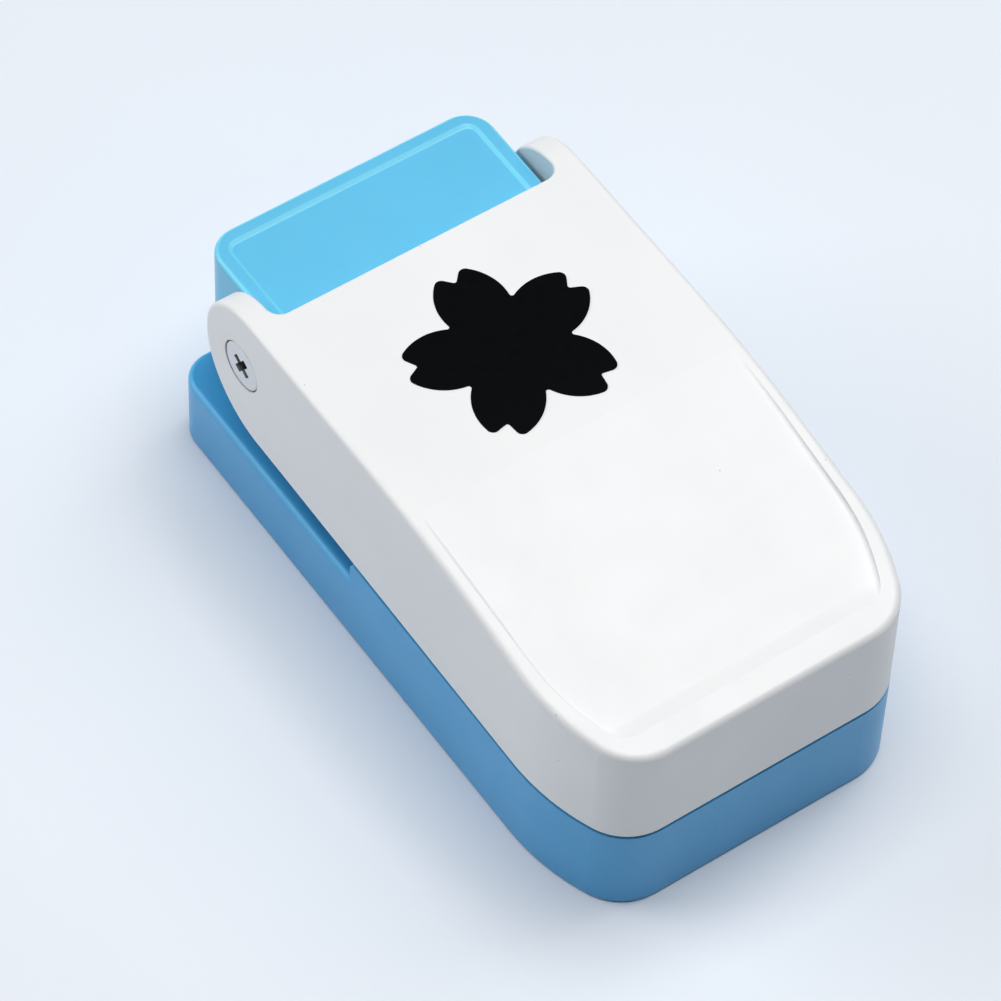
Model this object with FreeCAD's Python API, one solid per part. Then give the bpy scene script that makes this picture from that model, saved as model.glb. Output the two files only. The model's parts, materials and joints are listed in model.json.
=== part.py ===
import FreeCAD, Part
import math
import os

# Lever craft punch for a blossom shape. Millimetres, +Z up.
# Origin: middle of the base's underside. The lever's free end points to -Y, its pivot and the
# paper throat are at the +Y end, and X runs across. The lever is pressed down, as stored.

Vector = FreeCAD.Vector

# ---- driving dimensions ----
half_width = 25.1
front_y = -46.75
rear_y = 46.75

# Footprint: parallel sides, a sweep towards the front, then a tighter corner.
rear_corner_radius = 4.5
sweep_start_y = -29.35
sweep_radius = 31.65
front_corner_radius = 7.75

wall = 2.0
deck_z = 11.4
deck_thickness = 2.0
throat_stop_y = 6.25
lever_gap = 0.35
base_step_rounding = 0.9
base_foot_rounding = 0.5

# Square well under the die that the cut-outs fall down, and the lip of its exit in the cover
chute_half_width = 15.5
chute_front_y = 5.0
chute_rear_y = 35.5
chute_corner_radius = 2.0
exit_lip = 0.5

# Lever: its lower edge slopes slightly, its top is level and then curves down to a straight nose.
lever_edge_z = 15.55
lever_edge_slope = 0.02
lever_top_z = 37.9
lever_arc_start_y = 4.0
lever_arc_end_y = -17.6
lever_nose_slope = 0.174
lever_draft = 0.008
lever_top_thickness = 2.0
lever_wall = 2.3
lever_front_rounding = 1.0
lever_ear_rounding = 0.6
lever_u_cut_rounding = 0.4
lever_bottom_rounding = 0.35
ear_tail_y = 39.25
ear_lower_radius = 12.0
ear_upper_radius = 9.3
ear_inner_x = 21.4
ear_pad_y = 22.0
u_cut_front_y = 28.8
u_cut_radius = 2.0

# Thumb rest, a shallow hollow in the lever's nose
thumb_rim = 2.4
thumb_wall_draft = 0.12
thumb_start_y = -4.2
thumb_floor_end_y = -40.4
thumb_brow_y = -43.2
thumb_front_shift = 0.6
thumb_depth = 0.8
thumb_lead = 0.05
thumb_foot_radius = 0.5

# Pivot
pivot_y = 31.05
pivot_z = 28.3
pivot_head_radius = 3.55
pivot_head_height = 2.0
pivot_recess_radius = 3.68
pivot_recess_floor_x = 22.9
pivot_shoulder_radius = 2.5
pivot_thread_radius = 1.5
pivot_running_gap = 0.05
pivot_boss_radius = 4.4
pivot_boss_end_x = 16.0
pivot_cross_angle = 35.0
pivot_cross_width = 1.1
pivot_cross_length = 3.3
pivot_cross_depth = 1.4
insert_radius = 2.4

# Head, the housing over the throat
head_half_width = 20.75
head_rear_y = 46.6
head_front_y = -11.0
head_front_bevel = 5.0
head_top_z = 34.06
head_wall = 1.8
head_corner_radius = 4.15
head_edge_rounding = 0.8
head_panel_rim = 1.9
head_panel_depth = 0.35
head_panel_slope_run = 0.6
head_panel_corner_radius = 1.8
head_panel_rounding = 0.4
head_window_half_width = 8.0
head_window_front_y = 5.6
head_window_rear_y = 22.8

# Die set: die plate, spacer and guide plate, one above the other
plate_half_width = 18.0
plate_front_y = -4.0
plate_rear_y = 40.0
plate_thickness = 2.5
throat_gap = 1.8

# Punch, carrier and the lever's press block
punch_y = 20.5
petal_tip_radius = 13.7
petal_side_radius = 11.04
petal_notch_radius = 11.75
petal_root_radius = 7.45
petal_tip_rounding = 0.9
petal_valley_rounding = 0.35
cut_clearance = 0.06
guide_clearance = 0.1
punch_depth = 1.5
carrier_z = 17.2
carrier_top_z = 22.6
carrier_wide_half = 18.3
carrier_narrow_half = 12.7
carrier_front_y = 8.9
carrier_step_y = 25.6
carrier_rear_y = 34.8
post_y = 13.95
post_top_z = 30.6
post_half_width = 6.0
post_half_length = 4.0
nose_radius = 2.4
nose_gap = 0.05
block_flange = 1.6
block_half_width = 5.5
block_front_y = 6.9
block_rear_y = 21.7

# Return springs on their guide pins
pin_x = 15.3
pin_y = 19.0
pin_radius = 1.25
pin_top_z = 28.2
spring_radius = 2.05
spring_wire_radius = 0.3
spring_pocket_radius = 2.5
spring_turns = 5
spring_pocket_z = 21.0

# Flower mark on the lever
mark_x = 0.28
mark_y = 9.26
mark_thickness = 0.12

# Storage lock under the lever's front
hook_half_width = 3.5
hook_y = -35.0
hook_thickness = 2.0
hook_toe_z = 6.8
lock_nose_z = 7.1
lock_top_z = 9.0
lock_body_top_z = 7.0
lock_half_width = 7.0
lock_front_y = -28.6
lock_rear_y = -13.5
lock_wall = 2.0
lock_nose_half_width = 4.0
lock_thumb_front_y = -24.0
lock_thumb_rear_y = -17.9

# ---- derived values ----
plate_rear_gap = 0.1
die_z = deck_z - plate_thickness
guide_z = deck_z + throat_gap
guide_top_z = guide_z + plate_thickness
punch_z = deck_z - punch_depth
cover_z = 0.5
cover_top_z = 2.0
lever_roof_z = lever_top_z - lever_top_thickness
lever_arc_radius = (lever_arc_start_y - lever_arc_end_y) / math.sin(math.atan(lever_nose_slope))


def lever_edge(y):
    return lever_edge_z + lever_edge_slope * y


def lever_top(y):
    """Height of the lever's top: level, then an arc, then a straight slope down to the nose."""
    along_arc = lever_arc_start_y - max(y, lever_arc_end_y)
    if along_arc <= 0:
        return lever_top_z
    z = lever_top_z - lever_arc_radius + math.sqrt(lever_arc_radius ** 2 - along_arc ** 2)
    return z - lever_nose_slope * max(lever_arc_end_y - y, 0)


# ---- small helpers ----
def box(x0, x1, y0, y1, z0, z1):
    return Part.makeBox(x1 - x0, y1 - y0, z1 - z0, Vector(x0, y0, z0))


def mirrored(shape):
    return shape.mirror(Vector(0, 0, 0), Vector(1, 0, 0))


def upright(radius, x, y, z0, z1):
    return Part.makeCylinder(radius, z1 - z0, Vector(x, y, z0))


def sideways(radius, x0, x1, y, z):
    return Part.makeCylinder(radius, x1 - x0, Vector(x0, y, z), Vector(1, 0, 0))


def fused(shapes):
    whole = shapes[0]
    if len(shapes) > 1:
        whole = whole.fuse(shapes[1:])
    return whole.removeSplitter()


def side_prism(points, half):
    """A closed outline of (y, z) points, extruded across the punch."""
    corners = [Vector(-half, y, z) for y, z in points]
    corners.append(corners[0])
    return Part.Face(Part.makePolygon(corners)).extrude(Vector(2 * half, 0, 0))


def rounded_box(x0, x1, y0, y1, z0, z1, radius):
    block = box(x0, x1, y0, y1, z0, z1)
    uprights = [e for e in block.Edges if abs(e.tangentAt(e.FirstParameter).z) > 0.99]
    return block.makeFillet(radius, uprights)


def save(name, *solids):
    shape = solids[0] if len(solids) == 1 else Part.makeCompound(list(solids))
    loose = shape.Solids
    if len(loose) == 1:
        shape = loose[0]
    print(name, len(loose), "solids", "valid" if shape.isValid() else "INVALID",
          round(shape.Volume, 1))
    shape.exportStep("parts/" + name + ".step")


# ---- outlines ----
def footprint(inset, z, square_rear=False):
    """The punch's plan outline, moved inwards by inset."""
    side_x = half_width - inset
    sweep_centre = Vector(half_width - sweep_radius, sweep_start_y, z)
    corner_y = front_y + front_corner_radius
    reach = math.sqrt((sweep_radius - front_corner_radius) ** 2 - (corner_y - sweep_start_y) ** 2)
    corner_centre = Vector(sweep_centre.x + reach, corner_y, z)
    along = corner_centre.sub(sweep_centre).normalize()
    sweep_r = sweep_radius - inset
    corner_r = front_corner_radius - inset
    meet = sweep_centre.add(along * sweep_r)
    half_turn = math.atan2(along.y, along.x) / 2
    sweep_mid = sweep_centre.add(Vector(math.cos(half_turn), math.sin(half_turn), 0) * sweep_r)
    corner_turn = (2 * half_turn - math.pi / 2) / 2
    corner_mid = corner_centre.add(Vector(math.cos(corner_turn), math.sin(corner_turn), 0) * corner_r)
    front = Vector(corner_centre.x, front_y + inset, z)
    side = Vector(side_x, sweep_start_y, z)

    right = [Part.Arc(front, corner_mid, meet).toShape(), Part.Arc(meet, sweep_mid, side).toShape()]
    if square_rear:
        rear_end = Vector(side_x, rear_y, z)
        right.append(Part.LineSegment(side, rear_end).toShape())
    else:
        rear_r = rear_corner_radius - inset
        rear_centre = Vector(side_x - rear_r, rear_y - inset - rear_r, z)
        tip = Vector(math.sqrt(0.5), math.sqrt(0.5), 0) * rear_r
        bend_start = Vector(side_x, rear_centre.y, z)
        rear_end = Vector(rear_centre.x, rear_y - inset, z)
        right.append(Part.LineSegment(side, bend_start).toShape())
        right.append(Part.Arc(bend_start, rear_centre.add(tip), rear_end).toShape())
    left = [mirrored(edge) for edge in right]
    back = Part.LineSegment(rear_end, Vector(-rear_end.x, rear_end.y, z)).toShape()
    nose = Part.LineSegment(Vector(-front.x, front.y, z), front).toShape()
    return Part.Wire(Part.__sortEdges__(right + [back] + left + [nose]))


def footprint_prism(inset, z0, z1, square_rear=False):
    return Part.Face(footprint(inset, z0, square_rear)).extrude(Vector(0, 0, z1 - z0))


def blossom_face(z, centre_y, grow=0.0):
    """Face of a five-petal blossom with notched petal tips, its outline moved outwards by grow."""

    def polar(radius, degrees, petal):
        turned = math.radians(90 + 72 * petal + degrees)
        return Vector(radius * math.cos(turned), centre_y + radius * math.sin(turned), z)

    edges = []
    for petal in range(5):
        notch = polar(petal_notch_radius, 0, petal)
        for sign in (-1, 1):
            valley = polar(petal_root_radius, sign * 36, petal)
            side = polar(petal_side_radius, sign * 22.5, petal)
            tip = polar(petal_tip_radius, sign * 7.2, petal)
            edges.append(Part.Arc(valley, side, tip).toShape())
            edges.append(Part.LineSegment(tip, notch).toShape())
    face = Part.Face(Part.Wire(Part.__sortEdges__(edges)))
    face = face.makeOffset2D(-petal_tip_rounding)
    face = face.makeOffset2D(petal_tip_rounding + petal_valley_rounding)
    return face.makeOffset2D(grow - petal_valley_rounding)


def blossom_prism(z0, z1, centre_y, grow=0.0):
    return blossom_face(z0, centre_y, grow).extrude(Vector(0, 0, z1 - z0))


# ---- screws ----
def cross_recess(width, length, depth, x, y, z_top):
    """A Phillips cross cut down from z_top."""
    long_y = box(x - width / 2, x + width / 2, y - length / 2, y + length / 2, z_top - depth, z_top + 1)
    long_x = box(x - length / 2, x + length / 2, y - width / 2, y + width / 2, z_top - depth, z_top + 1)
    return long_y.fuse(long_x)


def pan_screw(head_r, head_h, shank_r, length, cross=2.6):
    """A pan-head screw with its shank up +Z, the head's underside at z = 0."""
    head = Part.makeCylinder(head_r, head_h, Vector(0, 0, -head_h))
    rim = [e for e in head.Edges if abs(e.BoundBox.ZMax + head_h) < 1e-6 and e.BoundBox.XLength > 0.1]
    head = head.makeFillet(head_h * 0.35, rim)
    shank = Part.makeCylinder(shank_r, length - shank_r, Vector(0, 0, 0))
    tip = Part.makeCone(shank_r, shank_r * 0.4, shank_r, Vector(0, 0, length - shank_r))
    recess = cross_recess(0.8, cross, head_h * 0.6, 0, 0, 0)
    recess = recess.mirror(Vector(0, 0, -head_h / 2), Vector(0, 0, 1))
    return fused([head, shank, tip]).cut(recess)


def placed(shape, x, y, z, upside_down=False):
    copy = shape.copy()
    if upside_down:
        copy.rotate(Vector(0, 0, 0), Vector(1, 0, 0), 180)
    copy.translate(Vector(x, y, z))
    return copy


# Screw places, (x, y)
head_screw_spots = [(-13, -7.6), (13, -7.6), (-13, 1.0), (13, 1.0)]
die_screw_spots = [(-12, 38), (12, 38)]
cover_screw_spots = [(-18.8, 41.6), (18.8, 41.6), (-18.5, -31), (18.5, -31)]
carrier_screw_spots = [(-8, 24), (8, 24)]
block_screw_spots = [(0, 9.2), (0, 19.4)]

head_screw_seat_z = 3.6
head_screw_top_z = 20.5
head_screw_pocket_radius = 2.7
head_screw_hole_radius = 1.4
die_screw_seat_z = 4.2
die_screw_pocket_radius = 2.1
die_screw_hole_radius = 1.1
cover_screw_seat_z = 1.3
cover_screw_top_z = 8.2
cover_screw_pocket_radius = 2.1
cover_screw_hole_radius = 1.1
cover_screw_tap_radius = 1.0
cover_post_radius = 2.6
small_tap_radius = 0.9


# ---- base ----
def chute():
    """The square well under the die that the cut-outs fall down."""
    return rounded_box(-chute_half_width, chute_half_width, chute_front_y, chute_rear_y, -1, die_z + 0.1,
                       chute_corner_radius)


def base_shell():
    outer = footprint_prism(0, 0, 18)
    step_top = lever_edge(throat_stop_y) - lever_gap
    front_top = lever_edge(front_y - 1) - lever_gap
    outline = [(front_y - 1, -1), (front_y - 1, front_top), (throat_stop_y, step_top),
               (throat_stop_y, deck_z), (rear_y + 1, deck_z), (rear_y + 1, -1)]
    outer = outer.common(side_prism(outline, half_width + 1))
    soft = [e for e in outer.Edges
            if abs(e.BoundBox.ZMin - deck_z) < 1e-4 and abs(e.BoundBox.ZMax - deck_z) < 1e-4
            and e.BoundBox.YMax > throat_stop_y + 0.1]
    step = [e for e in outer.Edges
            if abs(e.BoundBox.YMin - throat_stop_y) < 1e-4
            and abs(e.BoundBox.YMax - throat_stop_y) < 1e-4
            and abs(e.BoundBox.ZMin - step_top) < 1e-3]
    outer = outer.makeFillet(base_step_rounding, soft + step)
    foot = [e for e in outer.Edges if e.BoundBox.ZMax < 1e-4]
    outer = outer.makeFillet(base_foot_rounding, foot)

    above = footprint_prism(wall, deck_z, 20).cut(box(-30, 30, throat_stop_y - wall, 60, 0, 30))
    below = footprint_prism(wall, -1, deck_z - deck_thickness)
    well = rounded_box(-20, 20, -11, 42, cover_top_z, deck_z - deck_thickness + 0.01, 2.0)
    posts = [upright(cover_post_radius, x, y, cover_top_z, deck_z - 1) for x, y in cover_screw_spots]
    below = below.cut(fused([well] + posts))
    shell = outer.cut(above).cut(below).cut(chute())

    pocket = box(-plate_half_width - 0.1, plate_half_width + 0.1, plate_front_y - 0.1,
                 plate_rear_y + plate_rear_gap, die_z, 30)
    hook_slot = box(-hook_half_width - 1, hook_half_width + 1, hook_y - 4.2, hook_y + 3.4, 5, 30)
    head_gap = box(-head_half_width - 0.1, head_half_width + 0.1, throat_stop_y - wall - 1,
                   throat_stop_y + 1, deck_z, 30)
    tools = [pocket, hook_slot, head_gap]
    for x, y in head_screw_spots:
        tools.append(upright(head_screw_pocket_radius, x, y, -1, head_screw_seat_z))
        tools.append(upright(head_screw_hole_radius, x, y, 0, 30))
    for x, y in die_screw_spots:
        tools.append(upright(die_screw_pocket_radius, x, y, -1, die_screw_seat_z))
        tools.append(upright(die_screw_hole_radius, x, y, 0, 30))
    for x, y in cover_screw_spots:
        tools.append(upright(cover_screw_tap_radius, x, y, 0, cover_screw_top_z + 0.4))
    return shell.cut(fused(tools))


def bottom_cover():
    plate = footprint_prism(wall + 0.15, cover_z, cover_top_z)
    exit_half = chute_half_width - exit_lip
    exit_hole = rounded_box(-exit_half, exit_half, chute_front_y + exit_lip, chute_rear_y - exit_lip,
                            -1, 5, chute_corner_radius)
    thumb_slot = rounded_box(-4, 4, -27.5, -17.5, -1, 5, 1.5)
    rails = [box(x - 0.5, x + 0.5, -33, -12, cover_z, 5.0) for x in (-7.8, 7.8)]
    plate = fused([plate] + rails)
    tools = [exit_hole, thumb_slot]
    for x, y in cover_screw_spots:
        tools.append(upright(cover_screw_hole_radius, x, y, -1, 5))
        tools.append(upright(cover_screw_pocket_radius, x, y, -1, cover_screw_seat_z))
    for x, y in head_screw_spots:
        tools.append(upright(head_screw_pocket_radius, x, y, -1, 5))
    for x, y in die_screw_spots:
        tools.append(upright(die_screw_pocket_radius, x, y, -1, 5))
    return plate.cut(fused(tools))


def lock_slider():
    """Slides towards the hook and over its toe to hold the lever down."""
    body = box(-lock_half_width, lock_half_width, lock_front_y, lock_rear_y, cover_top_z + 0.1,
               lock_body_top_z)
    room_half = lock_half_width - lock_wall
    nose_rear_y = lock_front_y + lock_wall
    body = body.cut(box(-room_half, room_half, nose_rear_y, lock_rear_y - lock_wall, 4.0, 8))
    nose = box(-lock_nose_half_width, lock_nose_half_width, lock_front_y - 2.0, nose_rear_y,
               lock_nose_z, lock_top_z)
    riser = box(-lock_nose_half_width, lock_nose_half_width, lock_front_y, nose_rear_y, 6.0, lock_top_z)
    thumb = rounded_box(-3.4, 3.4, lock_thumb_front_y, lock_thumb_rear_y, 0.9, 3.0, 1.2)
    grooves = [box(-5, 5, y, y + 0.7, 0.4, 1.5) for y in (-23.0, -21.3, -19.6)]
    return fused([body, nose, riser, thumb]).cut(fused(grooves))


# ---- die set ----
def plate(z0, z1, hole_clearance):
    blank = rounded_box(-plate_half_width, plate_half_width, plate_front_y, plate_rear_y, z0, z1, 1.0)
    return blank.cut(blossom_prism(z0 - 1, z1 + 1, punch_y, hole_clearance))


def through_holes():
    """Holes in the die set for the head screws that pass through it."""
    return [upright(head_screw_hole_radius, x, y, 5, 25)
            for x, y in head_screw_spots if y > plate_front_y]


def die_plate():
    taps = [upright(small_tap_radius, x, y, die_z - 1, deck_z - 0.6) for x, y in die_screw_spots]
    return plate(die_z, deck_z, cut_clearance).cut(fused(through_holes() + taps))


def throat_spacer():
    bar = box(-plate_half_width, plate_half_width, plate_front_y, throat_stop_y, deck_z, guide_z)
    return bar.cut(fused(through_holes()))


def guide_plate():
    pins = [upright(pin_radius, sign * pin_x, pin_y, 5, 25) for sign in (-1, 1)]
    blank = plate(guide_z, guide_top_z, guide_clearance)
    lead_in = side_prism([(plate_rear_y - 1.2, guide_z - 1), (plate_rear_y + 1, guide_z - 1),
                          (plate_rear_y + 1, guide_z + 1.2), (plate_rear_y, guide_z + 0.8),
                          (plate_rear_y - 1.2, guide_z)], half_width)
    return blank.cut(fused(through_holes() + pins)).cut(lead_in)


# ---- head ----
def head_outer():
    blank = rounded_box(-head_half_width, head_half_width, head_front_y, head_rear_y, deck_z, head_top_z,
                        head_corner_radius)
    outline = [(head_front_y - 1, deck_z), (head_front_y - 1, head_top_z - head_front_bevel - 1),
               (head_front_y + head_front_bevel, head_top_z), (head_rear_y + 1, head_top_z),
               (head_rear_y + 1, guide_z), (plate_front_y - 0.2, guide_z), (plate_front_y - 0.2, deck_z)]
    return blank.common(side_prism(outline, half_width))


def panel_outline(inset, z):
    """Rounded rectangle on the head's top: the sunk panel's brink, moved inwards by inset."""
    x = head_half_width - head_panel_rim - inset
    rear = head_rear_y - head_panel_rim - inset
    slab = rounded_box(-x, x, inset, rear, z, z + 1, head_panel_corner_radius - inset)
    return [face for face in slab.Faces if face.BoundBox.ZMax < z + 0.01][0].OuterWire


def head_panel():
    """The sunk panel of the head's top, with sloping walls that have a rounded foot."""
    floor_z = head_top_z - head_panel_depth
    brink = panel_outline(0, head_top_z)
    floor = panel_outline(head_panel_slope_run, floor_z)
    panel = Part.makeLoft([floor, brink], True, True)
    foot = [e for e in panel.Edges if e.BoundBox.ZMax < floor_z + 0.01]
    return panel.makeFillet(head_panel_rounding, foot)


def head_housing():
    shell = head_outer()
    crown = [e for e in shell.Edges if e.BoundBox.ZMin > head_top_z - head_front_bevel - 1.3
             and e.BoundBox.XLength + e.BoundBox.YLength > 0.2]
    shell = shell.makeFillet(head_edge_rounding, crown)
    shell = shell.cut(head_panel())

    inner = head_half_width - head_wall
    roof_z = head_top_z - head_panel_depth - head_wall
    works = box(-inner, inner, 8.4, head_rear_y - head_wall, guide_top_z, roof_z)
    bosses = [sideways(pivot_boss_radius, pivot_boss_end_x, head_half_width - 0.5, pivot_y, pivot_z)]
    bosses.append(mirrored(bosses[0]))
    works = works.cut(fused(bosses))
    plate_pocket = box(-plate_half_width - 0.1, plate_half_width + 0.1, plate_front_y - 0.1,
                       plate_rear_y + plate_rear_gap, 0, guide_top_z)
    front_room = box(-inner + 0.4, inner - 0.4, -2.6, 6.6, guide_top_z - 0.01, roof_z)
    front_room = front_room.cut(fused([upright(3.0, x, y, 0, 40) for x, y in head_screw_spots]))
    window = rounded_box(-head_window_half_width, head_window_half_width, head_window_front_y,
                         head_window_rear_y, 25, 50, 1.5)

    tools = [works, plate_pocket, front_room, window]
    for x, y in head_screw_spots:
        tools.append(upright(1.1, x, y, 0, head_screw_top_z + 0.5))
    for sign in (-1, 1):
        start, end = sorted((sign * 14.0, sign * (head_half_width + 1)))
        tools.append(sideways(insert_radius, start, end, pivot_y, pivot_z))
    lead_in = side_prism([(head_rear_y - 3.0, guide_z - 0.01), (head_rear_y + 1, guide_z - 0.01),
                          (head_rear_y + 1, guide_z + 2.2)], half_width)
    return shell.cut(fused(tools)).cut(lead_in)


# ---- pivot ----
def pivot_insert():
    """Threaded brass insert pressed into the head's boss."""
    sleeve = sideways(insert_radius, pivot_boss_end_x, head_half_width, pivot_y, pivot_z)
    sleeve = sleeve.cut(sideways(pivot_thread_radius, 10, 30, pivot_y, pivot_z))
    groove_x = (pivot_boss_end_x + head_half_width) / 2
    ring = sideways(insert_radius + 0.6, groove_x - 0.4, groove_x + 0.4, pivot_y, pivot_z)
    ring = ring.cut(sideways(insert_radius - 0.3, 10, 30, pivot_y, pivot_z))
    return sleeve.cut(ring)


def pivot_screw():
    """Shoulder screw whose head lies flush in the lever's ear."""
    head_in_x = pivot_recess_floor_x + pivot_running_gap
    head_out_x = head_in_x + pivot_head_height
    head = sideways(pivot_head_radius, head_in_x, head_out_x, pivot_y, pivot_z)
    rim = [e for e in head.Edges if e.BoundBox.XMin > head_out_x - 1e-4 and e.BoundBox.YLength > 1]
    head = head.makeFillet(0.3, rim)
    shoulder = sideways(pivot_shoulder_radius, head_half_width, head_out_x - 1, pivot_y, pivot_z)
    thread = sideways(pivot_thread_radius, pivot_boss_end_x - 1.5, head_half_width + 1, pivot_y, pivot_z)
    recess = cross_recess(pivot_cross_width, pivot_cross_length, pivot_cross_depth, 0, 0, 0)
    recess.rotate(Vector(0, 0, 0), Vector(0, 0, 1), pivot_cross_angle)
    recess.rotate(Vector(0, 0, 0), Vector(0, 1, 0), 90)
    recess.translate(Vector(head_out_x, pivot_y, pivot_z))
    return fused([head, shoulder, thread]).cut(recess)


# ---- punch and carrier ----
def punch():
    body = blossom_prism(punch_z, carrier_z, punch_y)
    taps = [upright(small_tap_radius, x, y, carrier_z - 3.5, carrier_z + 1)
            for x, y in carrier_screw_spots]
    return body.cut(fused(taps))


def punch_carrier():
    wide = rounded_box(-carrier_wide_half, carrier_wide_half, carrier_front_y, carrier_step_y,
                       carrier_z, carrier_top_z, 0.8)
    narrow = rounded_box(-carrier_narrow_half, carrier_narrow_half, punch_y, carrier_rear_y,
                         carrier_z, carrier_top_z, 0.8)
    post = rounded_box(-post_half_width, post_half_width, post_y - post_half_length,
                       post_y + post_half_length, carrier_top_z - 1, post_top_z, 1.5)
    crown = [e for e in post.Edges if e.BoundBox.ZMin > post_top_z - 1e-4]
    post = post.makeFillet(0.5, crown)
    tools = []
    for sign in (-1, 1):
        tools.append(upright(spring_pocket_radius, sign * pin_x, pin_y, carrier_z - 1, spring_pocket_z))
        tools.append(upright(pin_radius + 0.08, sign * pin_x, pin_y, 10, 40))
        slot_x = sign * 10.3
        tools.append(box(slot_x - 1.2, slot_x + 1.2, 10.5, 16.5, carrier_top_z - 3, carrier_top_z + 1))
    for x, y in carrier_screw_spots:
        tools.append(upright(1.1, x, y, carrier_z - 1, 40))
    return fused([wide, narrow, post]).cut(fused(tools))


def return_spring():
    """Compression spring round a guide pin, with ground flat ends."""
    bottom = guide_top_z
    height = spring_pocket_z - bottom
    wire = spring_wire_radius
    pitch = (height - 2 * wire) / spring_turns
    helix = Part.makeHelix(pitch, height - 2 * wire, spring_radius)
    section = Part.Wire([Part.makeCircle(wire, Vector(spring_radius, 0, 0), Vector(0, 1, 0))])
    coil = Part.Wire(helix).makePipeShell([section], True, True)
    coil.translate(Vector(pin_x, pin_y, bottom + wire))
    return coil


# ---- lever ----
def tail_arc(radius, height, slope, up):
    """Arc from the ear's upright tail onto a sloping line: tail end, middle, line end."""
    x = -half_width - 2
    lean = math.sqrt(1 + slope * slope)
    centre_y = ear_tail_y - radius
    centre = Vector(x, centre_y, height(centre_y) - up * radius * lean)
    tail = centre.add(Vector(0, radius, 0))
    middle = centre.add(Vector(0, math.sqrt(0.5), up * math.sqrt(0.5)) * radius)
    touch = centre.add(Vector(0, -up * slope, up) * (radius / lean))
    return tail, middle, touch


def lever_side():
    """Side view of the lever as a face."""
    x = -half_width - 2
    nose_y = front_y - 2
    tail_low, low_middle, bottom_end = tail_arc(ear_lower_radius, lever_edge, lever_edge_slope, -1)
    tail_high, high_middle, top_end = tail_arc(ear_upper_radius, lever_top, 0, 1)
    arc_middle_y = (lever_arc_start_y + lever_arc_end_y) / 2
    top_arc = [Vector(x, y, lever_top(y)) for y in (lever_arc_start_y, arc_middle_y, lever_arc_end_y)]
    nose_top = Vector(x, nose_y, lever_top(nose_y))
    nose_low = Vector(x, nose_y, lever_edge(nose_y))

    curves = [
        Part.LineSegment(nose_low, bottom_end),
        Part.Arc(bottom_end, low_middle, tail_low),
        Part.LineSegment(tail_low, tail_high),
        Part.Arc(tail_high, high_middle, top_end),
        Part.LineSegment(top_end, top_arc[0]),
        Part.Arc(*top_arc),
        Part.LineSegment(top_arc[2], nose_top),
        Part.LineSegment(nose_top, nose_low),
    ]
    return Part.Face(Part.Wire([curve.toShape() for curve in curves]))


def lever_slab(lower_by=0.0):
    """The lever's side view extruded right across the punch."""
    slab = lever_side().extrude(Vector(2 * half_width + 4, 0, 0))
    slab.translate(Vector(0, 0, -lower_by))
    return slab


def drafted_plan(inset, z0, z1):
    """The lever's plan, tapering inwards as it rises."""
    low = footprint(inset + lever_draft * (z0 - lever_edge_z), z0, True)
    high = footprint(inset + lever_draft * (z1 - lever_edge_z), z1, True)
    return Part.makeLoft([low, high], True, True)


def curve_below_top(places, drops):
    """Bezier curve in side view, its poles at the given y and drops below the lever's top."""
    curve = Part.BezierCurve()
    curve.setPoles([Vector(-half_width, y, lever_top(y) - drop) for y, drop in zip(places, drops)])
    return curve.toShape()


def thumb_plan(z):
    """Plan of the thumb rest at height z: its walls lean outwards as they rise."""
    nose_z = lever_top(thumb_brow_y)
    plan = footprint(thumb_rim - thumb_wall_draft * (z - nose_z), z, True)
    return plan.translated(Vector(0, thumb_front_shift, 0))


def thumb_hollow():
    """The thumb rest's hollow: it leaves the lever's top smoothly and ends in a soft front wall."""
    run = (thumb_floor_end_y - thumb_start_y) / 3
    floor_places = [thumb_start_y + run * i for i in range(4)]
    floor = curve_below_top(floor_places, (-thumb_lead, -3 * thumb_lead, thumb_depth, thumb_depth))
    rise = (thumb_brow_y - thumb_floor_end_y) / 3
    wall_places = [thumb_floor_end_y + rise * i for i in range(4)]
    front_wall = curve_below_top(wall_places, (thumb_depth, thumb_depth, 0, -thumb_lead))

    start = floor.Vertexes[0].Point
    brow = front_wall.Vertexes[-1].Point
    over = Part.makePolygon([brow, Vector(brow.x, brow.y, 60), Vector(brow.x, start.y, 60), start])
    outline = Part.Wire([floor, front_wall] + over.Edges)
    above = Part.Face(outline).extrude(Vector(2 * half_width, 0, 0))
    hollow = Part.makeLoft([thumb_plan(28), thumb_plan(40)], True, True).common(above)
    foot = [e for e in hollow.Edges if e.BoundBox.ZMax < lever_top(thumb_start_y) + 0.5
            and e.BoundBox.YLength > 3 and e.BoundBox.ZLength > 0.1]
    return hollow.makeFillet(thumb_foot_radius, foot)


def rounding_at(y):
    """Radius of the lever's top edge: largest at the front, smallest at the ears."""
    ear_y = ear_tail_y - ear_upper_radius
    run = min(max((ear_y - y) / (ear_y - sweep_start_y), 0), 1)
    return lever_ear_rounding + (lever_front_rounding - lever_ear_rounding) * run


def edge_rounding(edge):
    """Start and end radius for an edge of the half lever, or None for one that stays as it is."""
    b = edge.BoundBox
    upper = b.ZMin > lever_edge_z + 1.5
    on_middle = b.XMax < 0.01
    upright_seam = b.ZMin < lever_edge_z + 1.5 and b.ZLength > 14
    straight_across = b.YLength < 0.01 and b.ZLength < 0.01
    at_front = b.YMax < front_y + 1
    at_u_cut = b.YMin > u_cut_front_y - 0.01 and b.XMax < ear_inner_x + 0.01
    if on_middle or upright_seam or straight_across and not (at_front or at_u_cut):
        return None
    if at_u_cut:
        return (lever_u_cut_rounding, lever_u_cut_rounding)
    if b.YMin > ear_pad_y:
        return (lever_ear_rounding, lever_ear_rounding)
    if upper:
        return (rounding_at(b.YMax), rounding_at(b.YMin))
    return (lever_bottom_rounding, lever_bottom_rounding)


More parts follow.
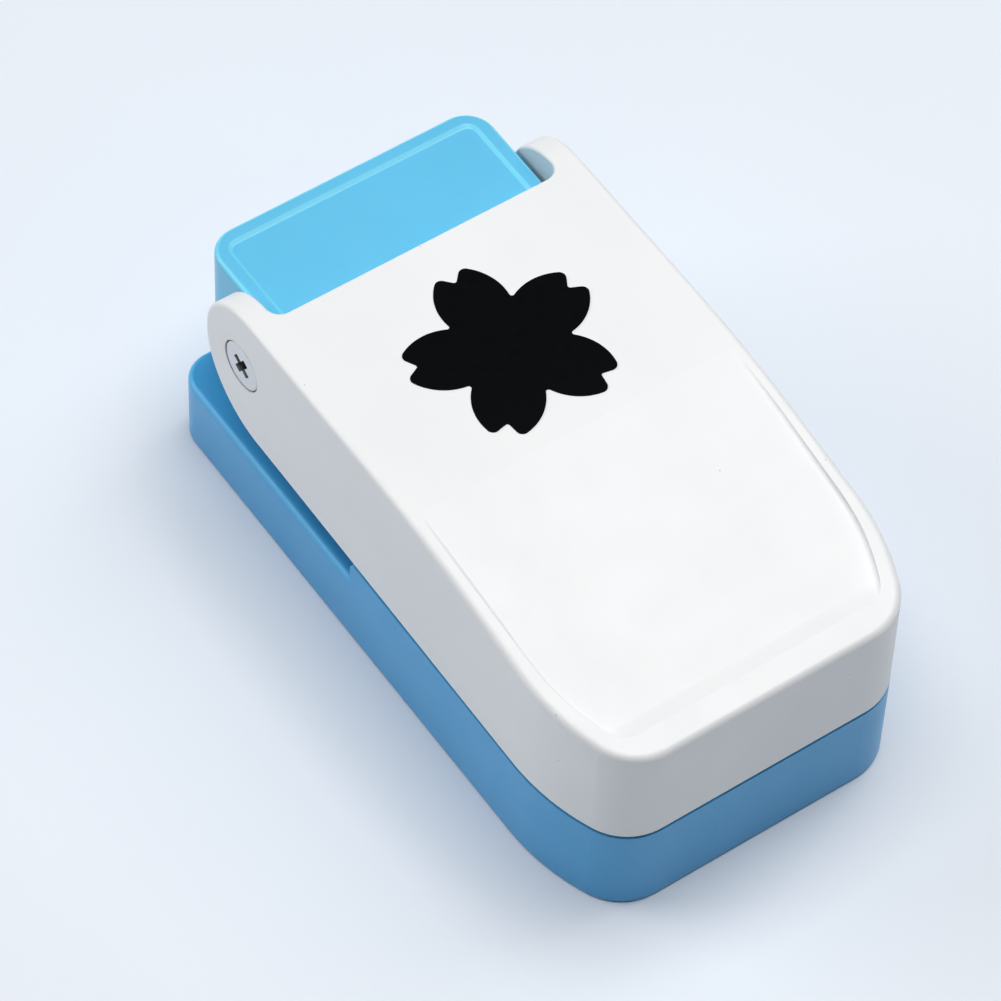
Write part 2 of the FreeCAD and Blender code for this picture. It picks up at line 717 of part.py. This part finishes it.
def rounded_half_lever():
    """Right half of the solid lever with its U-shaped cut, all its outer edges rounded."""
    u_cut = rounded_box(-ear_inner_x, ear_inner_x, u_cut_front_y, 70, 0, 60, u_cut_radius)
    half = drafted_plan(0, 10, 44).common(lever_slab()).common(box(0, 30, -60, 60, 0, 60)).cut(u_cut)
    rows = []
    for number, edge in enumerate(half.Edges, 1):
        radii = edge_rounding(edge)
        if radii:
            rows.append((number,) + radii)
    document = FreeCAD.newDocument("lever")
    base = document.addObject("Part::Feature", "Half")
    base.Shape = half
    fillet = document.addObject("Part::Fillet", "Rounded")
    fillet.Base = base
    fillet.Edges = rows
    document.recompute()
    return fillet.Shape.Solids[0]


def lever_ribs():
    """Ribs under the roof, and the hook that the storage lock holds."""
    ribs = []
    for x in (-11, 11):
        ribs.append(box(x - 0.6, x + 0.6, -44, -14, 24, 34))
    ribs.append(box(-22, 22, -25.6, -24.4, 24, 34))
    half = hook_thickness / 2
    ribs.append(box(-hook_half_width, hook_half_width, hook_y - half, hook_y + half, 5, 34))
    toe = [(hook_y, 5), (hook_y, hook_toe_z), (hook_y + 2.8, hook_toe_z), (hook_y + 2.8, 6.0),
           (hook_y + 1.9, 5)]
    ribs.append(side_prism(toe, hook_half_width))
    ribs.append(side_prism([(hook_y - 8, 34), (hook_y, 34), (hook_y, 18)], 0.8))
    inside = lever_slab(lever_top_thickness / 2).fuse(box(-30, 30, -60, 60, 0, 22))
    return fused(ribs).common(drafted_plan(lever_wall / 2, 0, 44).common(inside))


def lever_shell():
    half = rounded_half_lever()
    block = half.fuse(mirrored(half)).removeSplitter()
    block = block.cut(thumb_hollow())

    room = lever_slab(lever_top_thickness).fuse(box(-30, 30, -60, ear_tail_y + 5, 0, lever_edge(0) + 6))
    room = room.common(drafted_plan(lever_wall, 5, 44))
    pads = box(ear_inner_x, 30, ear_pad_y, 60, 0, 60)
    room = room.cut(pads).cut(mirrored(pads))
    shell = block.cut(room).fuse(lever_ribs()).removeSplitter()

    tools = []
    for sign in (-1, 1):
        start, end = sorted((sign * pivot_recess_floor_x, sign * 30))
        tools.append(sideways(pivot_recess_radius, start, end, pivot_y, pivot_z))
        start, end = sorted((sign * 18.0, sign * 30))
        tools.append(sideways(pivot_shoulder_radius + pivot_running_gap, start, end, pivot_y, pivot_z))
    for x, y in block_screw_spots:
        tools.append(upright(0.8, x, y, 30, lever_top(y) - 0.6))
    return shell.cut(fused(tools))


def flower_mark():
    """Thin printed foil that follows the lever's top."""
    film = lever_slab(-mark_thickness).cut(lever_slab())
    mark = blossom_prism(lever_roof_z, lever_top_z + 1, mark_y).common(film)
    mark.translate(Vector(mark_x, 0, 0))
    return mark


def press_block():
    """Block under the lever whose rounded nose pushes the carrier's post."""
    flange = rounded_box(-block_half_width, block_half_width, block_front_y, block_rear_y,
                         lever_roof_z - block_flange, lever_roof_z, 1.0)
    nose_z = post_top_z + nose_gap + nose_radius
    nose_half = block_half_width - 1.0
    nose = sideways(nose_radius, -nose_half, nose_half, post_y, nose_z)
    neck = box(-nose_half, nose_half, post_y - nose_radius, post_y + nose_radius, nose_z,
               lever_roof_z - 0.2)
    holes = [upright(small_tap_radius, x, y, 20, 50) for x, y in block_screw_spots]
    return fused([flange, nose, neck]).cut(fused(holes))


os.makedirs("parts", exist_ok=True)

save("base_shell", base_shell())
save("bottom_cover", bottom_cover())
save("lock_slider", lock_slider())
save("die_plate", die_plate())
save("throat_spacer", throat_spacer())
save("guide_plate", guide_plate())
save("head_housing", head_housing())

cover_screw = pan_screw(2.0, 0.7, 0.95, cover_screw_top_z - cover_screw_seat_z)
save("cover_screws", *[placed(cover_screw, x, y, cover_screw_seat_z) for x, y in cover_screw_spots])
head_screw = pan_screw(2.5, 1.6, 1.1, head_screw_top_z - head_screw_seat_z)
save("head_screws", *[placed(head_screw, x, y, head_screw_seat_z) for x, y in head_screw_spots])
die_screw = pan_screw(1.9, 1.3, 0.9, deck_z - 0.8 - die_screw_seat_z, 2.2)
save("die_screws", *[placed(die_screw, x, y, die_screw_seat_z) for x, y in die_screw_spots])

right_insert = pivot_insert()
save("pivot_insert_right", right_insert)
save("pivot_insert_left", mirrored(right_insert))
right_screw = pivot_screw()
save("pivot_screw_right", right_screw)
save("pivot_screw_left", mirrored(right_screw))

save("punch", punch())
save("punch_carrier", punch_carrier())
carrier_screw = pan_screw(2.0, 1.2, 0.9, carrier_top_z - carrier_z + 3.2, 2.2)
save("carrier_screws", *[placed(carrier_screw, x, y, carrier_top_z, True)
                         for x, y in carrier_screw_spots])
right_pin = upright(pin_radius, pin_x, pin_y, guide_z, pin_top_z)
save("guide_pin_right", right_pin)
save("guide_pin_left", mirrored(right_pin))
right_spring = return_spring()
save("return_spring_right", right_spring)
save("return_spring_left", mirrored(right_spring))

save("lever_shell", lever_shell())
save("flower_mark", flower_mark())
save("press_block", press_block())
block_screw = pan_screw(1.6, 0.8, 0.8, block_flange + 1.2, 1.9)
block_seat_z = lever_roof_z - block_flange - 0.12
save("press_block_screws", *[placed(block_screw, x, y, block_seat_z) for x, y in block_screw_spots])
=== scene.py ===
import json
import math

import bmesh
import bpy
from mathutils import Matrix, Vector


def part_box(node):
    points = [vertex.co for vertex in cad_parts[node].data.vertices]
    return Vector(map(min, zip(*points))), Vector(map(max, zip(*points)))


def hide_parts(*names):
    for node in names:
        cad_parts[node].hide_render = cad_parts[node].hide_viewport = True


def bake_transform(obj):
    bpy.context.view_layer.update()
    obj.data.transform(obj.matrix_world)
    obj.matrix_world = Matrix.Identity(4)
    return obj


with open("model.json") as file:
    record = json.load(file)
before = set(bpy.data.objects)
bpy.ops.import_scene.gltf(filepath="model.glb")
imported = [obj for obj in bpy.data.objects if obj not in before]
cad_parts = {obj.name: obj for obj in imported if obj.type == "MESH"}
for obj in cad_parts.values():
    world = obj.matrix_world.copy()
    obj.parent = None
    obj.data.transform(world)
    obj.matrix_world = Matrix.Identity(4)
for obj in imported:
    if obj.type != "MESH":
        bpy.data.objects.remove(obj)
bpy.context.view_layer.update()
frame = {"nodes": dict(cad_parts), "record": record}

# A lever craft punch. Metres, the CAD model's frame: +Z up, the lever's free end towards -Y.
# All pieces but two are the CAD's own. This script gives every piece its finish, winds the two
# return springs to the height of the CAD's spring pieces, and sets the stage.

MM = 0.001

# Moulded plastic
flow_size = 22 * MM
flow_stretch = (1, 0.5, 1)
flow_darkening = 0.965
patch_size = 6 * MM
coarse_grain_size = 0.55 * MM
fine_grain_size = 0.16 * MM
fine_grain_share = 0.4
# Painted highlight on roundings: its colour is the plastic's colour scaled up and lifted by these two.
highlight_gain = 1.4
highlight_lift = 0.03
dust_spacing = 2.4 * MM
dust_radius = 0.11 * MM
dust_one_in = 26
dust_strength = 0.6
dust_colour = (0.20, 0.18, 0.16)

# Metal
scratch_width = 0.12 * MM
scratch_squeeze = 0.02
scratch_darkening = 0.82
oil_film_size = 7 * MM
oil_strength = 0.35
oil_colour = (0.40, 0.37, 0.33)
# Painted shade: the near-black that crevices in screws are blended to.
crevice_shade_colour = (0.004, 0.004, 0.004)
crevice_samples = 8

# Printed foil
foil_film_size = 1.1 * MM
foil_grain_size = 0.3 * MM
foil_grain_depth = 0.004 * MM
foil_specular = 0.03
foil_darkest = (0.0008, 0.001, 0.0015)
foil_lightest = (0.003, 0.0034, 0.0045)

# Return springs
spring_turns = 5
closed_turn = 0.75
wire_radius = 0.3 * MM
steps_per_turn = 36
corners_round_wire = 10

# Table top and light
table_half = 1.5
table_cloud_size = 60 * MM
table_darkest = (0.785, 0.835, 0.90)
table_lightest = (0.815, 0.865, 0.93)
ambient_colour = (0.90, 0.95, 1.0, 1)
ambient_strength = 0.04
light_aim = (0, 0, 0.02)

# Camera: angles in degrees, lens and sensor in millimetres
camera_azimuth = -36.93
camera_elevation = 53.56
camera_roll = 2.94
camera_distance = 0.7074
camera_target = (0.0028, 0.01297, 0)
camera_lens = 197.6
camera_sensor = 36

# ---- shader helpers ----


def new_material(name, metallic=0.0, roughness=0.5):
    """A material with a Principled shader; returns (material, node tree, shader)."""
    material = bpy.data.materials.new(name)
    material.use_nodes = True
    tree = material.node_tree
    shader = tree.nodes["Principled BSDF"]
    shader.inputs["Metallic"].default_value = metallic
    shader.inputs["Roughness"].default_value = roughness
    return material, tree, shader


def place(tree, stretch=(1, 1, 1)):
    """The piece's own coordinates, stretched."""
    coordinates = tree.nodes.new("ShaderNodeTexCoord")
    mapping = tree.nodes.new("ShaderNodeMapping")
    mapping.inputs["Scale"].default_value = stretch
    tree.links.new(coordinates.outputs["Object"], mapping.inputs["Vector"])
    return mapping.outputs["Vector"]


def noise(tree, size, detail=2.0, stretch=(1, 1, 1)):
    """Noise whose blobs are about size metres across."""
    node = tree.nodes.new("ShaderNodeTexNoise")
    node.inputs["Scale"].default_value = 1 / size
    node.inputs["Detail"].default_value = detail
    tree.links.new(place(tree, stretch), node.inputs["Vector"])
    return node.outputs["Fac"]


def remap(tree, value, low, high, to_low, to_high):
    """Value from low..high carried over to to_low..to_high, clamped."""
    node = tree.nodes.new("ShaderNodeMapRange")
    node.inputs["From Min"].default_value = low
    node.inputs["From Max"].default_value = high
    node.inputs["To Min"].default_value = to_low
    node.inputs["To Max"].default_value = to_high
    tree.links.new(value, node.inputs["Value"])
    return node.outputs["Result"]


def blend_colours(tree, factor, first, second):
    """first where factor is 0, second where it is 1; each is a colour or a socket."""
    node = tree.nodes.new("ShaderNodeMix")
    node.data_type = "RGBA"
    tree.links.new(factor, node.inputs["Factor"])
    for name, colour in (("A", first), ("B", second)):
        socket = [s for s in node.inputs if s.name == name and s.type == "RGBA"][0]
        if isinstance(colour, bpy.types.NodeSocket):
            tree.links.new(colour, socket)
        else:
            socket.default_value = (*colour, 1)
    return [s for s in node.outputs if s.type == "RGBA"][0]


def combine(tree, operation, first, second):
    """Maths on two values, each a number or a socket."""
    node = tree.nodes.new("ShaderNodeMath")
    node.operation = operation
    for index, value in enumerate((first, second)):
        if isinstance(value, bpy.types.NodeSocket):
            tree.links.new(value, node.inputs[index])
        else:
            node.inputs[index].default_value = value
    return node.outputs["Value"]


def add_bump(tree, shader, height, depth, under=None):
    """Bump of about depth metres, laid over an earlier bump."""
    node = tree.nodes.new("ShaderNodeBump")
    node.inputs["Distance"].default_value = depth
    tree.links.new(height, node.inputs["Height"])
    if under is not None:
        tree.links.new(under, node.inputs["Normal"])
    tree.links.new(node.outputs["Normal"], shader.inputs["Normal"])
    return node.outputs["Normal"]


def specks(tree, spacing, radius, one_in):
    """1 inside sparse round specks: one cell in one_in holds one."""
    cells = tree.nodes.new("ShaderNodeTexVoronoi")
    cells.inputs["Scale"].default_value = 1 / spacing
    tree.links.new(place(tree), cells.inputs["Vector"])
    near = remap(tree, cells.outputs["Distance"], radius / spacing, radius / spacing * 0.7, 0, 1)
    split = tree.nodes.new("ShaderNodeSeparateColor")
    tree.links.new(cells.outputs["Color"], split.inputs["Color"])
    chosen = combine(tree, "GREATER_THAN", split.outputs["Red"], 1 - 1 / one_in)
    return combine(tree, "MULTIPLY", near, chosen)


def on_roundings(tree):
    """1 where the surface turns over from a wall to a level top, 0 on either of them.

    The Z part of the surface's direction is 0 on a wall and 1 on a level top."""
    coordinates = tree.nodes.new("ShaderNodeTexCoord")
    split = tree.nodes.new("ShaderNodeSeparateXYZ")
    tree.links.new(coordinates.outputs["Normal"], split.inputs["Vector"])
    off_the_wall = remap(tree, split.outputs["Z"], 0.2, 0.55, 0, 1)
    off_the_top = remap(tree, split.outputs["Z"], 0.9, 0.99, 1, 0)
    return combine(tree, "MULTIPLY", off_the_wall, off_the_top)


# Mask for the painted shade in crevices.
def in_crevices(tree, reach):
    """1 deep in a crevice narrower than about reach metres, 0 on an open surface."""
    node = tree.nodes.new("ShaderNodeAmbientOcclusion")
    node.inputs["Distance"].default_value = reach
    node.samples = crevice_samples
    return remap(tree, node.outputs["AO"], 0.35, 0.75, 1, 0)


# ---- finishes ----


def moulded_plastic(name, colour, roughness, grain_depth, painted_highlight_share=0.0):
    """Satin moulded plastic: fine grain, faint flow shading, a painted highlight on the roundings and
    a few dust specks.
    """
    material, tree, shader = new_material(name)
    flow = noise(tree, flow_size, 3, flow_stretch)
    darker = tuple(c * flow_darkening for c in colour)
    # Painted highlight: a paler, brighter copy of the colour, mixed into the roundings between walls
    # and level tops, standing in for the light they catch.
    highlight_colour = tuple(min(c * highlight_gain + highlight_lift, 1.0) for c in colour)
    shade = blend_colours(tree, remap(tree, flow, 0.35, 0.65, 0, 1), colour, darker)
    if painted_highlight_share:
        highlight_mask = combine(tree, "MULTIPLY", on_roundings(tree), painted_highlight_share)
        shade = blend_colours(tree, highlight_mask, shade, highlight_colour)
    dust = specks(tree, dust_spacing, dust_radius, dust_one_in)
    dusty = blend_colours(tree, combine(tree, "MULTIPLY", dust, dust_strength), shade, dust_colour)
    tree.links.new(dusty, shader.inputs["Base Color"])
    patches = noise(tree, patch_size, 4)
    gloss = remap(tree, patches, 0.3, 0.7, roughness - 0.04, roughness + 0.05)
    tree.links.new(gloss, shader.inputs["Roughness"])
    coarse = add_bump(tree, shader, noise(tree, coarse_grain_size, 2), grain_depth)
    add_bump(tree, shader, noise(tree, fine_grain_size, 1), grain_depth * fine_grain_share, coarse)
    return material


def blue_plastic():
    # The last number is how strongly the painted highlight goes into the roundings.
    return moulded_plastic("sky_blue_abs", (0.062, 0.385, 0.735), 0.33, 0.004 * MM, 0.6)


# The same sky-blue plastic as the other blue parts, painted lighter: the head's colour stands in for
# the extra light on its level tops. It also gets the strongest painted highlight on its roundings.
def head_plastic():
    return moulded_plastic("sky_blue_abs_painted_lighter", (0.124, 0.54, 0.82), 0.33, 0.004 * MM, 0.7)


def cover_plastic():
    return moulded_plastic("textured_blue_abs", (0.10, 0.44, 0.74), 0.5, 0.016 * MM)


def white_plastic():
    return moulded_plastic("white_abs", (0.86, 0.87, 0.875), 0.4, 0.009 * MM)


def grey_acetal():
    return moulded_plastic("grey_acetal", (0.30, 0.31, 0.32), 0.36, 0.003 * MM)


def black_foil():
    """Flat black print: almost no gloss, a slightly uneven film."""
    material, tree, shader = new_material("black_foil", roughness=0.55)
    film = noise(tree, foil_film_size, 4)
    colour = blend_colours(tree, film, foil_darkest, foil_lightest)
    tree.links.new(colour, shader.inputs["Base Color"])
    tree.links.new(remap(tree, film, 0.3, 0.7, 0.5, 0.64), shader.inputs["Roughness"])
    shader.inputs["Specular IOR Level"].default_value = foil_specular
    add_bump(tree, shader, noise(tree, foil_grain_size, 2), foil_grain_depth)
    return material


def ground_steel(name, colour, roughness, along, scratch_depth, crevice_shade_reach=0.0):
    """Ground metal: long fine scratches along one axis, an uneven oil film and, given a reach,
    painted shade in crevices up to about that wide: near black and not metallic."""
    material, tree, shader = new_material(name, metallic=1.0)
    stretch = tuple(scratch_squeeze if axis == along else 1.0 for axis in "xyz")
    scratches = noise(tree, scratch_width, 3, stretch)
    film = noise(tree, oil_film_size, 4)
    dark = tuple(c * scratch_darkening for c in colour)
    tone = blend_colours(tree, remap(tree, scratches, 0.3, 0.7, 0, 1), dark, colour)
    stained = blend_colours(tree, remap(tree, film, 0.52, 0.75, 0, oil_strength), tone, oil_colour)
    # Painted shade: crevices go near black and lose their metallic look, standing in for the shade
    # deep in them.
    if crevice_shade_reach:
        crevice_shade = in_crevices(tree, crevice_shade_reach)
        stained = blend_colours(tree, crevice_shade, stained, crevice_shade_colour)
        tree.links.new(remap(tree, crevice_shade, 0, 1, 1, 0), shader.inputs["Metallic"])
    tree.links.new(stained, shader.inputs["Base Color"])
    gloss = remap(tree, film, 0.3, 0.7, roughness - 0.06, roughness + 0.1)
    tree.links.new(gloss, shader.inputs["Roughness"])
    add_bump(tree, shader, scratches, scratch_depth)
    return material


def tool_steel():
    return ground_steel("ground_tool_steel", (0.58, 0.585, 0.59), 0.3, "y", 0.003 * MM)


def pin_steel():
    return ground_steel("dowel_steel", (0.66, 0.67, 0.68), 0.2, "z", 0.001 * MM)


def spring_steel():
    return ground_steel("spring_wire", (0.46, 0.46, 0.47), 0.28, "x", 0.002 * MM)


def insert_brass():
    return ground_steel("turned_brass", (0.78, 0.58, 0.28), 0.3, "x", 0.003 * MM)


# Both screw finishes below get painted shade in crevices up to the last number wide: the pivot screw's
# cross recess and the gap round its head go near black.
def zinc_screw():
    return ground_steel("zinc_plate", (0.60, 0.615, 0.64), 0.32, "x", 0.002 * MM, 0.5 * MM)


def pivot_screw_finish():
    return ground_steel("pale_satin_steel", (0.74, 0.75, 0.765), 0.42, "x", 0.002 * MM, 1.2 * MM)


makers = {
    "blue_plastic": blue_plastic,
    "head_plastic": head_plastic,
    "cover_plastic": cover_plastic,
    "white_plastic": white_plastic,
    "grey_acetal": grey_acetal,
    "black_foil": black_foil,
    "tool_steel": tool_steel,
    "pin_steel": pin_steel,
    "spring_steel": spring_steel,
    "insert_brass": insert_brass,
    "pivot_screw_finish": pivot_screw_finish,
    "zinc_screw": zinc_screw,
}
finishes = {slot: make() for slot, make in makers.items()}


def finish_cad_nodes():
    """Give each of the CAD's nodes the finish that its material slot names."""
    for part in frame["record"]["subparts"]:
        node = frame["nodes"][part["node"]]
        for slot in node.material_slots:
            slot.material = finishes[part["material_slot"]]


# ---- return springs ----


def wind_spring(side):
    """A compression spring of round wire with closed ends, wound to fill the CAD spring's box."""
    node = "return_spring_" + side
    low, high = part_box(node)
    centre = (low + high) / 2
    coil_radius = (high.x - low.x) / 2 - wire_radius
    turns = spring_turns + 2 * closed_turn
    free_height = high.z - low.z - 2 * wire_radius
    closed_rise = closed_turn * 2 * wire_radius

    def height_at(turn):
        if turn < closed_turn:
            return turn / closed_turn * closed_rise
        if turn > turns - closed_turn:
            return free_height - (turns - turn) / closed_turn * closed_rise
        share = (turn - closed_turn) / (turns - 2 * closed_turn)
        return closed_rise + share * (free_height - 2 * closed_rise)

    mesh = bpy.data.meshes.new(node + "_coil")
    builder = bmesh.new()
    rings = []
    for step in range(int(turns * steps_per_turn) + 1):
        turn = step / steps_per_turn
        angle = 2 * math.pi * turn
        outward = Vector((math.cos(angle), math.sin(angle), 0))
        on_axis = Vector((centre.x, centre.y, low.z + wire_radius + height_at(turn)))
        middle = on_axis + outward * coil_radius
        loop = []
        for corner in range(corners_round_wire):
            tilt = 2 * math.pi * corner / corners_round_wire
            spot = middle + (outward * math.cos(tilt) + Vector((0, 0, math.sin(tilt)))) * wire_radius
            loop.append(builder.verts.new(spot))
        rings.append(loop)
    for before, after in zip(rings, rings[1:]):
        for corner in range(corners_round_wire):
            beside = (corner + 1) % corners_round_wire
            builder.faces.new((before[corner], after[corner], after[beside], before[beside]))
    builder.faces.new(rings[0])
    builder.faces.new(rings[-1][::-1])
    builder.normal_update()
    bmesh.ops.recalc_face_normals(builder, faces=builder.faces)
    builder.to_mesh(mesh)
    builder.free()
    mesh.shade_smooth()
    coil = bpy.data.objects.new(node + "_coil", mesh)
    bpy.context.scene.collection.objects.link(coil)
    mesh.materials.append(finishes["spring_steel"])
    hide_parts(node)
    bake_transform(coil)


# ---- stage ----


def lay_floor():
    """Pale blue-white table top."""
    mesh = bpy.data.meshes.new("table_top")
    corners = [(x * table_half, y * table_half, 0) for x, y in ((-1, -1), (1, -1), (1, 1), (-1, 1))]
    mesh.from_pydata(corners, [], [(0, 1, 2, 3)])
    floor = bpy.data.objects.new("table_top", mesh)
    bpy.context.scene.collection.objects.link(floor)
    material, tree, shader = new_material("pale_table", roughness=0.6)
    cloud = noise(tree, table_cloud_size, 3)
    colour = blend_colours(tree, cloud, table_darkest, table_lightest)
    tree.links.new(colour, shader.inputs["Base Color"])
    mesh.materials.append(material)


def add_lamp(name, spot, size, power):
    """A white rectangular panel lamp at spot, turned towards the punch."""
    light = bpy.data.lights.new(name, "AREA")
    light.shape = "RECTANGLE"
    light.size, light.size_y = size
    light.energy = power
    lamp = bpy.data.objects.new(name, light)
    bpy.context.scene.collection.objects.link(lamp)
    lamp.location = spot
    lamp.rotation_euler = (Vector(spot) - Vector(light_aim)).to_track_quat("Z", "Y").to_euler()


def light_stage():
    """Soft studio light: a big panel overhead, a smaller one at the rear left and one at the right."""
    world = bpy.data.worlds.new("studio")
    bpy.context.scene.world = world
    world.use_nodes = True
    background = world.node_tree.nodes["Background"]
    background.inputs["Color"].default_value = ambient_colour
    background.inputs["Strength"].default_value = ambient_strength
    add_lamp("overhead_panel", (0, 0, 1.0), (0.8, 0.8), 7.1)
    add_lamp("rear_left_panel", (-0.65, 0.65, 0.5), (0.6, 0.5), 3.3)
    add_lamp("right_panel", (0.5, 0, 0.85), (0.5, 0.7), 3.1)
    bpy.context.scene.view_settings.view_transform = "Standard"


def set_camera():
    """Camera above the free end's left corner, slightly rolled."""
    azimuth = math.radians(camera_azimuth)
    elevation = math.radians(camera_elevation)
    roll = math.radians(camera_roll)
    back = Vector((math.sin(azimuth) * math.cos(elevation), -math.cos(azimuth) * math.cos(elevation),
                   math.sin(elevation)))
    level = Vector((math.cos(azimuth), math.sin(azimuth), 0))
    upward = back.cross(level)
    right = level * math.cos(roll) + upward * math.sin(roll)
    above = upward * math.cos(roll) - level * math.sin(roll)
    data = bpy.data.cameras.new("camera")
    data.sensor_width = camera_sensor
    data.lens = camera_lens
    data.clip_start = 0.01
    camera = bpy.data.objects.new("camera", data)
    bpy.context.scene.collection.objects.link(camera)
    turn = Matrix((right, above, back)).transposed().to_4x4()
    camera.matrix_world = Matrix.Translation(Vector(camera_target) + back * camera_distance) @ turn
    bpy.context.scene.camera = camera


set_camera()
finish_cad_nodes()
for side in ("left", "right"):
    wind_spring(side)
lay_floor()
light_stage()
